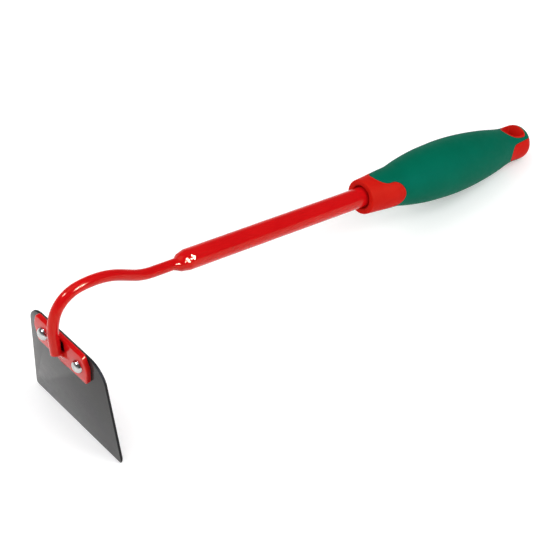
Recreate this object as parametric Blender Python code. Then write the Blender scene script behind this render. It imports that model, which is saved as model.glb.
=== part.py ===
# Garden hoe with a riveted blade, a bent steel neck, a steel tube and a
# two-material handle.  All lengths are in metres, +Z is up.
#
# The hoe lies as it would on a table: the cutting edge and the underside of
# the handle's tail touch Z = 0.  +X runs from the blade towards the handle,
# Y = 0 is the middle plane, and the origin is below the middle of the whole
# object.
import math

import bmesh
import bpy

# --------------------------------------------------------------------------
# Driving dimensions
# --------------------------------------------------------------------------
MM = 0.001
GAP = 0.3 * MM                      # clearance between neighbouring pieces

TILT = math.radians(12.805)         # slope of the tube, falling to the handle
LEAN = math.radians(0.875)          # outward lean of the blade

TUBE_R = 7.5 * MM                   # 15 mm tube
TUBE_WALL = 1.4 * MM
TUBE_END = 284.0 * MM               # end of the tube, deep inside the handle
TUBE_LIP = 2.2 * MM                 # thickness of the rolled-in front end

ROD_R = 3.85 * MM                   # 7.7 mm rod
ROD_IN = 28.0 * MM                  # length of rod inside the tube
ROD_TOE = 70.0 * MM                 # height at which the rod ends on the plate
NECK_STRAIGHT = 29.4 * MM           # straight run in front of the tube
NECK_RISE_R, NECK_RISE_A = 48.6 * MM, math.radians(20.7)
NECK_RAMP = 11.2 * MM
NECK_CROWN_R, NECK_CROWN_A = 60.0 * MM, math.radians(32.8)
NECK_TURN_R, NECK_TURN_A = 20.9 * MM, math.radians(70.6)
NECK_DROP_R = 46.0 * MM

BLADE_T = 1.8 * MM
BLADE_HALF_W = 49.05 * MM           # at the cutting edge
BLADE_TOP_HALF_W = 39.9 * MM        # where the sides would meet the top
BLADE_H = 83.7 * MM
BLADE_SHOULDER_R = 15.5 * MM
BLADE_CORNER_R = 2.4 * MM
BLADE_GRIND = 5.0 * MM              # height of the ground edge, inner side
BLADE_EDGE_T = 0.4 * MM             # thickness left at the cutting edge

PLATE_T = 3.5 * MM
PLATE_TOP = 85.4 * MM
PLATE_BOTTOM = 61.2 * MM
PLATE_HALF_L = 28.7 * MM            # widest, at mid height
PLATE_HALF_L_TOP = 24.6 * MM
PLATE_HALF_L_BOTTOM = 26.6 * MM

RIVET_Y = 19.2 * MM
RIVET_Z = 73.2 * MM
RIVET_SHANK_R = 2.5 * MM
RIVET_HEAD_R = 4.6 * MM
RIVET_HEAD_H = 3.0 * MM
RIVET_TAIL_R = 4.0 * MM
RIVET_TAIL_H = 1.5 * MM

WELD_LENGTH = 11.5 * MM             # fillet between tube and rod
WELD_HALF_W = 9.4 * MM              # bead between rod and plate
WELD_HALF_H = 8.6 * MM
WELD_HEIGHT = 6.4 * MM

COLLAR = 164.3 * MM                 # front face of the handle, from the tube's front
HANDLE_END = 351.6 * MM
TAIL_DOME = 340.6 * MM              # where the tail starts to round off
GRIP_T = 2.1 * MM                   # thickness of the soft grip
BORE_DEPTH = 122.0 * MM
MOUTH_R = 8.9 * MM                  # recess round the tube in the collar
MOUTH_DEPTH = 3.5 * MM

LOBE_CENTRE, LOBE_LENGTH, LOBE_HALF_W = 185.0 * MM, 10.0 * MM, 8.5 * MM
TAB_CENTRE, TAB_R = 186.0 * MM, 12.2 * MM
PATCH_CENTRE, PATCH_R = 329.5 * MM, 8.2 * MM
GRIP_REAR = 346.2 * MM

EYE_TIP, EYE_WIDEST, EYE_REAR = 322.0 * MM, 338.3 * MM, 342.6 * MM
EYE_HALF_W = 9.2 * MM               # window in the soft grip round the hanging eye
EYE_LIP = 1.0 * MM                  # hard rim that shows inside the window

# Radius of the handle at stations along it, measured from the collar's face.
HANDLE_STATIONS = (
    (0.0, 13.10), (9.4, 13.75), (21.4, 14.80), (28.5, 15.25), (34.5, 15.65),
    (40.0, 16.95), (46.0, 18.10), (53.0, 19.20), (65.0, 20.70), (78.0, 21.50),
    (91.0, 21.95), (104.0, 21.70), (117.0, 20.80), (131.0, 19.30),
    (144.0, 17.40), (157.0, 14.95), (165.0, 14.00), (172.0, 14.10), (176.3, 14.00),
)

COLUMNS = 40                        # facets round the handle
GRIP_ROWS = (200.0, 206.0, 213.0, 223.0, 235.0, 248.0, 261.0, 273.0, 285.0, 296.0, 306.0, 313.0, 318.0)


# --------------------------------------------------------------------------
# Materials
# --------------------------------------------------------------------------
def material(name, colour, roughness, metallic=0.0):
    mat = bpy.data.materials.new(name)
    mat.use_nodes = True
    shader = mat.node_tree.nodes["Principled BSDF"]
    shader.inputs["Base Color"].default_value = (*colour, 1.0)
    shader.inputs["Roughness"].default_value = roughness
    shader.inputs["Metallic"].default_value = metallic
    mat.diffuse_color = (*colour, 1.0)
    return mat


# --------------------------------------------------------------------------
# Mesh helpers
# --------------------------------------------------------------------------
def new_object(name, bm, mat, parent=None, sharp=40.0):
    bmesh.ops.recalc_face_normals(bm, faces=bm.faces)
    mesh = bpy.data.meshes.new(name)
    bm.to_mesh(mesh)
    bm.free()
    mesh.shade_smooth()
    mesh.set_sharp_from_angle(angle=math.radians(sharp))
    if mat:
        mesh.materials.append(mat)
    obj = bpy.data.objects.new(name, mesh)
    bpy.context.collection.objects.link(obj)
    obj.parent = parent
    return obj


def cutter(name, bm, parent=None):
    obj = new_object(name, bm, None, parent)
    obj.hide_render = True
    obj.display_type = "WIRE"
    return obj


def boolean(obj, other, operation="DIFFERENCE"):
    mod = obj.modifiers.new(operation.lower() + "_" + other.name, "BOOLEAN")
    mod.operation = operation
    mod.solver = "EXACT"
    mod.object = other
    return mod


def skin(rings, columns):
    """Closed skin over rings of points; a ring of one point is a pole."""
    bm = bmesh.new()
    rows = [[bm.verts.new(p) for p in ring] for ring in rings]
    for a, b in zip(rows, rows[1:]):
        for j in range(columns):
            k = (j + 1) % columns
            if len(a) == 1:
                bm.faces.new((a[0], b[j], b[k]))
            elif len(b) == 1:
                bm.faces.new((a[j], b[0], a[k]))
            else:
                bm.faces.new((a[j], b[j], b[k], a[k]))
    if len(rows[0]) > 1 and len(rows[-1]) > 1:      # a ring-shaped body
        a, b = rows[-1], rows[0]
        for j in range(columns):
            k = (j + 1) % columns
            bm.faces.new((a[j], b[j], b[k], a[k]))
    return bm


def turned(profile, columns):
    """Body turned about X from (x, radius) pairs; radius 0 is a pole."""
    rings = []
    for x, r in profile:
        if r < 1e-7:
            rings.append([(x, 0.0, 0.0)])
        else:
            rings.append([(x, r * math.sin(2 * math.pi * j / columns),
                           r * math.cos(2 * math.pi * j / columns))
                          for j in range(columns)])
    return skin(rings, columns)


def prism_x(outline, x0, x1):
    """Outline of (y, z) points pushed from x0 to x1."""
    bm = bmesh.new()
    front = [bm.verts.new((x0, y, z)) for y, z in outline]
    back = [bm.verts.new((x1, y, z)) for y, z in outline]
    bm.faces.new(front)
    bm.faces.new(back[::-1])
    n = len(outline)
    for j in range(n):
        k = (j + 1) % n
        bm.faces.new((front[j], front[k], back[k], back[j]))
    return bm


def rounded(corners):
    """Outline through corners (y, z, radius, steps), each rounded by an arc."""
    points = []
    n = len(corners)
    for i in range(n):
        y, z, r, steps = corners[i]
        ay, az = corners[i - 1][:2]
        by, bz = corners[(i + 1) % n][:2]
        la, lb = math.hypot(ay - y, az - z), math.hypot(by - y, bz - z)
        ua = ((ay - y) / la, (az - z) / la)
        ub = ((by - y) / lb, (bz - z) / lb)
        half = math.acos(ua[0] * ub[0] + ua[1] * ub[1]) / 2
        reach = r / math.tan(half)
        mid = (ua[0] + ub[0], ua[1] + ub[1])
        lm = math.hypot(*mid)
        cy = y + mid[0] / lm * r / math.sin(half)
        cz = z + mid[1] / lm * r / math.sin(half)
        a0 = math.atan2(z + ua[1] * reach - cz, y + ua[0] * reach - cy)
        a1 = math.atan2(z + ub[1] * reach - cz, y + ub[0] * reach - cy)
        turn = (a1 - a0 + math.pi) % (2 * math.pi) - math.pi
        for s in range(steps + 1):
            a = a0 + turn * s / steps
            points.append((cy + r * math.cos(a), cz + r * math.sin(a)))
    return points


def bevelled(obj, width, segments):
    mod = obj.modifiers.new("edge_rounding", "BEVEL")
    mod.width = width
    mod.segments = segments
    mod.limit_method = "ANGLE"
    mod.angle_limit = math.radians(50)
    return mod


# --------------------------------------------------------------------------
# The handle's outer form
# --------------------------------------------------------------------------
def handle_radius(s):
    """Radius of the handle at distance s from the tube's front."""
    if s >= TAIL_DOME:
        u = min(1.0, (s - TAIL_DOME) / (HANDLE_END - TAIL_DOME))
        return HANDLE_STATIONS[-1][1] * MM * math.sqrt(max(0.0, 1.0 - u * u))
    x = max(0.0, (s - COLLAR) / MM)
    table = HANDLE_STATIONS
    i = 0
    while i < len(table) - 2 and x > table[i + 1][0]:
        i += 1

    def slope(k):
        if k == len(table) - 1:
            return 0.0
        lo, hi = max(0, k - 1), k + 1
        return (table[hi][1] - table[lo][1]) / (table[hi][0] - table[lo][0])

    (xa, ra), (xb, rb) = table[i], table[i + 1]
    h = xb - xa
    t = (x - xa) / h
    value = (ra * (2 * t ** 3 - 3 * t ** 2 + 1) + h * slope(i) * (t ** 3 - 2 * t ** 2 + t)
             + rb * (3 * t ** 2 - 2 * t ** 3) + h * slope(i + 1) * (t ** 3 - t ** 2))
    return value * MM


def front_limit(angle):
    """Where the soft grip starts, for an angle measured from the top."""
    r = handle_radius(LOBE_CENTRE)
    y, w = abs(r * math.sin(angle)), abs(r * math.cos(angle))
    if w >= TAB_R:
        y = min(y, LOBE_HALF_W)
        return LOBE_CENTRE - LOBE_LENGTH * math.sqrt(1.0 - (y / LOBE_HALF_W) ** 2)
    return TAB_CENTRE + math.sqrt(TAB_R ** 2 - w ** 2)


def rear_limit(angle):
    """Where the soft grip ends."""
    w = abs(13.9 * MM * math.cos(angle))
    if w < PATCH_R:
        return PATCH_CENTRE - math.sqrt(PATCH_R ** 2 - w ** 2)
    u = min(1.0, (w - PATCH_R) / (1.2 * MM))
    return PATCH_CENTRE + (GRIP_REAR - PATCH_CENTRE) * u


def column_angle(j):
    return 2 * math.pi * j / COLUMNS


def limit_with_gap(limit, sign):
    """The limit for each column, moved so the wall clears its neighbour."""
    plain = [limit(column_angle(j)) for j in range(COLUMNS)]
    step = 2 * math.pi / COLUMNS * 14.5 * MM
    moved = []
    for j in range(COLUMNS):
        before, here, after = plain[j - 1], plain[j], plain[(j + 1) % COLUMNS]
        slope = max(abs(here - before), abs(after - here)) / step
        moved.append(here + sign * GAP * math.sqrt(1.0 + slope * slope))
    return plain, moved


def handle_ring(stations, inset=0.0):
    """Ring on the handle's surface, sunk by inset, one station per column."""
    ring = []
    for j in range(COLUMNS):
        a = column_angle(j)
        s = stations[j]
        r = handle_radius(s) - inset
        ring.append((s, r * math.sin(a), r * math.cos(a)))
    return ring


def grip_rings(front, rear, inset):
    """Rings from the front limit to the rear limit of the soft grip."""
    level = [GRIP_ROWS[-1] * MM] * COLUMNS
    rings = [handle_ring(front, inset)]
    rings += [handle_ring([s * MM] * COLUMNS, inset) for s in GRIP_ROWS]
    rings += [handle_ring(blend(level, rear, t), inset) for t in (0.3, 0.6, 0.8, 0.894, 1.0)]
    return rings


def plain_ring(s, r):
    return [(s, r * math.sin(column_angle(j)), r * math.cos(column_angle(j)))
            for j in range(COLUMNS)]


def blend(first, last, t):
    return [a + (b - a) * t for a, b in zip(first, last)]


def eye_outline(grow, steps=14):
    """Outline of the hanging eye, as (s, y), grown by grow: round in front,
    wide and squarer behind."""
    half = EYE_HALF_W + grow
    tip, rear = EYE_TIP - grow, EYE_REAR + grow
    points = []
    for i in range(steps + 1):                       # tip to the widest place
        a = math.pi / 2 * i / steps
        points.append((EYE_WIDEST - (EYE_WIDEST - tip) * math.cos(a), half * math.sin(a)))
    for i in range(1, steps):                        # round the rear
        a = math.pi / 2 * i / steps
        points.append((EYE_WIDEST + (rear - EYE_WIDEST) * math.sin(a) ** 0.8,
                       half * math.cos(a) ** 0.8))
    points.append((rear, 0.0))
    lower = [(s, -y) for s, y in points[1:-1]]
    return points + lower[::-1]


def eye_body(levels):
    """Upright body through the eye; levels are (height, growth) pairs."""
    rings = [[(s, y, w) for s, y in eye_outline(grow)] for w, grow in levels]
    n = len(rings[0])
    bm = bmesh.new()
    rows = [[bm.verts.new(p) for p in ring] for ring in rings]
    for a, b in zip(rows, rows[1:]):
        for j in range(n):
            k = (j + 1) % n
            bm.faces.new((a[j], a[k], b[k], b[j]))
    bm.faces.new(rows[0][::-1])
    bm.faces.new(rows[-1])
    return bm


# --------------------------------------------------------------------------
# The neck's centre line
# --------------------------------------------------------------------------
def neck_line(x, z):
    """Centre line in the middle plane, from inside the tube to the plate."""
    heading = TILT
    x += ROD_IN * math.cos(heading)
    z -= ROD_IN * math.sin(heading)
    points = [(x, z)]
    total = TILT + NECK_RISE_A + math.pi / 2 + LEAN
    last = total - NECK_CROWN_A - NECK_TURN_A
    runs = ((ROD_IN + NECK_STRAIGHT, 0.0, 3), (NECK_RISE_R * NECK_RISE_A, NECK_RISE_A, 5),
            (NECK_RAMP, 0.0, 1), (NECK_CROWN_R * NECK_CROWN_A, -NECK_CROWN_A, 7),
            (NECK_TURN_R * NECK_TURN_A, -NECK_TURN_A, 9), (NECK_DROP_R * last, -last, 4))
    for length, turn, steps in runs:
        for _ in range(steps):
            heading += turn / steps / 2
            chord = length / steps
            if turn:
                half = abs(turn) / steps / 2
                chord *= math.sin(half) / half
            x -= chord * math.cos(heading)
            z += chord * math.sin(heading)
            heading += turn / steps / 2
            points.append((x, z))
    run = (z - ROD_TOE) / math.sin(-heading)
    for _ in range(3):
        x -= run / 3 * math.cos(heading)
        z += run / 3 * math.sin(heading)
        points.append((x, z))
    return points


def main():
    for obj in list(bpy.data.objects):
        bpy.data.objects.remove(obj, do_unlink=True)

    red_paint = (0.62, 0.012, 0.014)
    mats = {
        "blade": material("blade_coating", (0.10, 0.10, 0.10), 0.42, 0.6),
        "plate": material("plate_paint", red_paint, 0.22),
        "rod": material("neck_paint", red_paint, 0.20),
        "tube": material("tube_paint", red_paint, 0.20),
        "weld_a": material("plate_weld_paint", red_paint, 0.26),
        "weld_b": material("tube_weld_paint", red_paint, 0.26),
        "rivet_a": material("rivet_left_steel", (0.72, 0.72, 0.70), 0.18, 1.0),
        "rivet_b": material("rivet_right_steel", (0.72, 0.72, 0.70), 0.18, 1.0),
        "core": material("core_plastic", (0.66, 0.016, 0.014), 0.35),
        "grip": material("grip_rubber", (0.0, 0.115, 0.075), 0.55),
    }

    # Where the tube's front sits: the tail touches the floor, and the whole
    # object is centred in X.
    fine = [COLLAR + (HANDLE_END - COLLAR) * i / 900 for i in range(901)]
    front_z = max(s * math.sin(TILT) + handle_radius(s) * math.cos(TILT) for s in fine)
    far_x = max(s * math.cos(TILT) + handle_radius(s) * math.sin(TILT) for s in fine)
    line = neck_line(0.0, front_z)
    near_x = min(x for x, _ in line) - ROD_R
    front_x = -(near_x + far_x) / 2
    line = [(x + front_x, z) for x, z in line]

    root = bpy.data.objects.new("hoe", None)
    shaft = bpy.data.objects.new("shaft_axis", None)
    head = bpy.data.objects.new("head_frame", None)
    for empty in (root, shaft, head):
        bpy.context.collection.objects.link(empty)
    shaft.parent = root
    head.parent = root
    shaft.location = (front_x, 0.0, front_z)
    shaft.rotation_euler = (0.0, TILT, 0.0)

    # The blade's outer face lies at X = 0 of the head frame.  The rod's toe
    # runs parallel to it, in front of the plate.
    toe_x, toe_z = line[-1]
    stand_off = GAP + PLATE_T + GAP + ROD_R
    head.location = (toe_x + toe_z * math.tan(LEAN) + stand_off / math.cos(LEAN), 0.0, 0.0)
    head.rotation_euler = (0.0, -LEAN, 0.0)

    # ---- blade -----------------------------------------------------------
    slope = (BLADE_HALF_W - BLADE_TOP_HALF_W) / BLADE_H
    outline = rounded((
        (BLADE_HALF_W, 0.0, BLADE_CORNER_R, 3),
        (BLADE_HALF_W - slope * BLADE_H, BLADE_H, BLADE_SHOULDER_R, 8),
        (-(BLADE_HALF_W - slope * BLADE_H), BLADE_H, BLADE_SHOULDER_R, 8),
        (-BLADE_HALF_W, 0.0, BLADE_CORNER_R, 3),
    ))
    blade = new_object("blade", prism_x(outline, 0.0, BLADE_T), mats["blade"], head, 30)
    grind = bmesh.new()
    wide = 60 * MM
    wedge = ((BLADE_EDGE_T, -2 * MM), (BLADE_T + 2 * MM, -2 * MM),
             (BLADE_T + 2 * MM, BLADE_GRIND * (1 + 2 * MM / (BLADE_T - BLADE_EDGE_T))),
             (BLADE_EDGE_T, 0.0))
    left = [grind.verts.new((x, -wide, z)) for x, z in wedge]
    right = [grind.verts.new((x, wide, z)) for x, z in wedge]
    grind.faces.new(left)
    grind.faces.new(right[::-1])
    for j in range(4):
        k = (j + 1) % 4
        grind.faces.new((left[j], left[k], right[k], right[j]))
    boolean(blade, cutter("cutting_edge_grind", grind, head))

    # ---- plate that carries the rod on the blade --------------------------
    mid = (PLATE_TOP + PLATE_BOTTOM) / 2 + 2 * MM
    outline = rounded((
        (PLATE_HALF_L_BOTTOM, PLATE_BOTTOM, 2.0 * MM, 3),
        (PLATE_HALF_L, mid, 9.0 * MM, 3),
        (PLATE_HALF_L_TOP, PLATE_TOP, 3.6 * MM, 4),
        (-PLATE_HALF_L_TOP, PLATE_TOP, 3.6 * MM, 4),
        (-PLATE_HALF_L, mid, 9.0 * MM, 3),
        (-PLATE_HALF_L_BOTTOM, PLATE_BOTTOM, 2.0 * MM, 3),
    ))
    plate = new_object("tang_plate", prism_x(outline, -GAP - PLATE_T, -GAP), mats["plate"], head, 30)
    bevelled(plate, 0.6 * MM, 2)
    for side, name in ((1, "left"), (-1, "right")):
        hole = turned(((-8 * MM, 0), (-8 * MM, RIVET_SHANK_R + GAP),
                       (5 * MM, RIVET_SHANK_R + GAP), (5 * MM, 0)), 20)
        tool = cutter("rivet_hole_" + name, hole, head)
        tool.location = (0.0, side * RIVET_Y, RIVET_Z)
        boolean(blade, tool)
        boolean(plate, tool)

    # ---- rivets: domed head outside, closed head inside --------------------
    face = -(GAP + PLATE_T + GAP)
    tail = BLADE_T + GAP
    profile = [(face - RIVET_HEAD_H * math.cos(math.pi / 2 * i / 6),
                RIVET_HEAD_R * math.sin(math.pi / 2 * i / 6)) for i in range(7)]
    profile += [(face, RIVET_SHANK_R), (tail, RIVET_SHANK_R)]
    profile += [(tail + RIVET_TAIL_H * math.sin(math.pi / 2 * i / 4),
                 RIVET_TAIL_R * math.cos(math.pi / 2 * i / 4)) for i in range(4)]
    profile += [(tail + RIVET_TAIL_H, 0.0)]
    for side, name, key in ((1, "rivet_left", "rivet_a"), (-1, "rivet_right", "rivet_b")):
        rivet = new_object(name, turned(profile, 20), mats[key], head)
        rivet.location = (0.0, side * RIVET_Y, RIVET_Z)

    # ---- neck rod ----------------------------------------------------------
    curve = bpy.data.curves.new("gooseneck_rod", "CURVE")
    curve.dimensions = "3D"
    curve.bevel_depth = ROD_R
    curve.bevel_resolution = 6
    curve.use_fill_caps = True
    spline = curve.splines.new("POLY")
    spline.points.add(len(line) - 1)
    for point, (x, z) in zip(spline.points, line):
        point.co = (x, 0.0, z, 1.0)
    spline.use_smooth = True
    curve.materials.append(mats["rod"])
    rod = bpy.data.objects.new("gooseneck_rod", curve)
    bpy.context.collection.objects.link(rod)
    rod.parent = root

    # ---- bead that welds the rod's toe to the plate -------------------------
    bm = bmesh.new()
    bmesh.ops.create_uvsphere(bm, u_segments=24, v_segments=12, radius=1.0)
    for v in bm.verts:
        v.co = (v.co.z * WELD_HEIGHT, v.co.x * WELD_HALF_W, v.co.y * WELD_HALF_H)
    bead = new_object("plate_weld", bm, mats["weld_a"], head)
    bead.location = (face, 0.0, ROD_TOE + 0.4 * MM)
    keep = bmesh.new()
    bmesh.ops.create_cube(keep, size=1.0)
    for v in keep.verts:
        v.co = (v.co.x * 20 * MM + 10 * MM, v.co.y * 40 * MM, v.co.z * 40 * MM)
    plane = cutter("plate_side", keep, head)
    plane.location = (face, 0.0, ROD_TOE)
    boolean(bead, plane)
    bm = bmesh.new()
    bmesh.ops.create_cone(bm, cap_ends=True, segments=24, radius1=ROD_R + GAP,
                          radius2=ROD_R + GAP, depth=30 * MM)
    groove = cutter("rod_groove", bm, head)
    groove.location = (-stand_off, 0.0, (ROD_TOE - GAP) + 15 * MM)
    boolean(bead, groove)

    # ---- tube ---------------------------------------------------------------
    inner = TUBE_R - TUBE_WALL
    bend = 1.0 * MM
    profile = [(0.0, ROD_R + GAP), (0.0, TUBE_R - bend)]
    profile += [(bend - bend * math.cos(math.pi / 2 * i / 3),
                 TUBE_R - bend + bend * math.sin(math.pi / 2 * i / 3)) for i in (1, 2, 3)]
    profile += [(60 * MM, TUBE_R), (120 * MM, TUBE_R), (TUBE_END, TUBE_R), (TUBE_END, inner),
                (TUBE_LIP + 0.8 * MM, inner), (TUBE_LIP, inner - 0.8 * MM), (TUBE_LIP, ROD_R + GAP)]
    new_object("shaft_tube", turned(profile, 36), mats["tube"], shaft)

    # ---- fillet that closes the tube's front onto the rod --------------------
    profile = [(-GAP, ROD_R + GAP)]
    for t, r in ((0.0, 7.3), (0.19, 7.2), (0.4, 6.75), (0.61, 6.05), (0.81, 5.15), (1.0, 4.5)):
        profile.append((-GAP - (WELD_LENGTH - GAP) * t, r * MM))
    profile.append((-WELD_LENGTH, ROD_R + GAP))
    new_object("tube_weld", turned(profile, 28), mats["weld_b"], shaft)

    # ---- handle core -----------------------------------------------------------
    front, front_grip = limit_with_gap(front_limit, 1)
    rear, rear_grip = limit_with_gap(rear_limit, -1)
    sunk = GRIP_T + GAP
    bore = TUBE_R + GAP
    edge = 1.3 * MM
    rings = [[(COLLAR + BORE_DEPTH, 0.0, 0.0)],
             plain_ring(COLLAR + BORE_DEPTH, bore),
             plain_ring(COLLAR + MOUTH_DEPTH, bore),
             plain_ring(COLLAR + MOUTH_DEPTH, MOUTH_R),
             plain_ring(COLLAR + 0.7 * MM, MOUTH_R),
             plain_ring(COLLAR, MOUTH_R + 0.7 * MM)]
    lip = handle_radius(COLLAR + edge)
    for i in range(4):
        a = math.pi / 2 * i / 3
        rings.append(plain_ring(COLLAR + edge - edge * math.cos(a), lip - edge + edge * math.sin(a)))
    start = [COLLAR + edge] * COLUMNS
    for t in (0.35, 0.7, 1.0):
        rings.append(handle_ring(blend(start, front, t)))
    rings += grip_rings(front, rear, sunk)
    rings.append(handle_ring(rear))
    dome = [348.6 * MM] * COLUMNS
    for t in (0.3, 0.6, 0.8, 0.9):
        rings.append(handle_ring(blend(rear, dome, t)))
    for s in (348.6, 349.9, 350.8, 351.4):
        rings.append(handle_ring([s * MM] * COLUMNS))
    rings.append([(HANDLE_END, 0.0, 0.0)])
    core = new_object("handle_core", skin(rings, COLUMNS), mats["core"], shaft)

    # Hard rim that rises through the grip round the hanging eye.
    boss = cutter("eye_rim", eye_body(((-20 * MM, -GAP), (20 * MM, -GAP))), shaft)
    rings = [[(300 * MM, 0.0, 0.0)]]
    rings += [handle_ring([s * MM] * COLUMNS) for s in
              (300, 308, 315, 322, 326, 330, 336, 340.6, 343.2, 346.2, 348)]
    rings.append([(348 * MM, 0.0, 0.0)])
    boolean(boss, cutter("tail_form", skin(rings, COLUMNS), shaft), "INTERSECT")
    boolean(core, boss, "UNION")
    funnel = EYE_LIP + GAP
    levels = ((-20, funnel), (-12.5, funnel), (-9.5, funnel + 1.1 * MM), (-6.5, funnel + 2.0 * MM),
              (-3, funnel + 2.3 * MM), (3, funnel + 2.3 * MM), (6.5, funnel + 2.0 * MM),
              (9.5, funnel + 1.1 * MM), (12.5, funnel), (20, funnel))
    eye = cutter("eye_hole", eye_body([(w * MM, -g) for w, g in levels]), shaft)
    boolean(core, eye)

    # ---- soft grip ----------------------------------------------------------------
    rings = grip_rings(front_grip, rear_grip, 0.0) + grip_rings(front_grip, rear_grip, GRIP_T)[::-1]
    grip = new_object("soft_grip", skin(rings, COLUMNS), mats["grip"], shaft)
    boolean(grip, cutter("eye_window", eye_body(((-22 * MM, 0.0), (22 * MM, 0.0))), shaft))

    bpy.context.view_layer.update()


main()
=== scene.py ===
import math

import bmesh
import bpy
import numpy as np
from mathutils import Matrix, Vector


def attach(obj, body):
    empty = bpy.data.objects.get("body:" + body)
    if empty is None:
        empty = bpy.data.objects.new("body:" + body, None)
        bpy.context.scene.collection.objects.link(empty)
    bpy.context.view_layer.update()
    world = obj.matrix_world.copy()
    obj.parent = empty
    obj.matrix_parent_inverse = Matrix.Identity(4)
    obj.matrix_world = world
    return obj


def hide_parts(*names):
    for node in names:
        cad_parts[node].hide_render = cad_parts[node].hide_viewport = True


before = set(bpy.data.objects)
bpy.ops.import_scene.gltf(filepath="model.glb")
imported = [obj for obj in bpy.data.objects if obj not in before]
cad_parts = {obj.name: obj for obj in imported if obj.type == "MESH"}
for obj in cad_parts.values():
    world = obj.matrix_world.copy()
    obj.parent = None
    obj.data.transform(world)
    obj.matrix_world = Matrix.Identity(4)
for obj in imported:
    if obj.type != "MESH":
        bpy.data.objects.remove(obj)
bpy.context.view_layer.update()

MM = 0.001
TILT = math.radians(12.805)
LEAN = math.radians(0.875)
SHAFT = Matrix.Translation((-0.115159, 0.0, 0.089354)) @ Matrix.Rotation(TILT, 4, "Y")
HEAD = Matrix.Translation((-0.2149815, 0.0, 0.0)) @ Matrix.Rotation(-LEAN, 4, "Y")

TUBE_R, TUBE_WALL, TUBE_END = 7.5, 1.4, 284.0
ROD_R, ROD_IN, ROD_TOE = 3.85, 28.0, 70.0
COLLAR, HANDLE_END, TAIL_DOME = 164.3, 351.55, 340.6
GRIP_T, SUNK = 2.1, 2.4
FACE = -3.8                       # the plate's outer face in the head frame
TOE = 73.0                        # height of the rod's cut end
SLANT_A, SLANT_Y = 0.16, -0.30    # its slant away from and along the plate
# the plate sits a little off the middle of the blade, as in the photo
RIVETED = HEAD @ Matrix.Translation((0.0, 1.1 * MM, 0.4 * MM))


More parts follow.
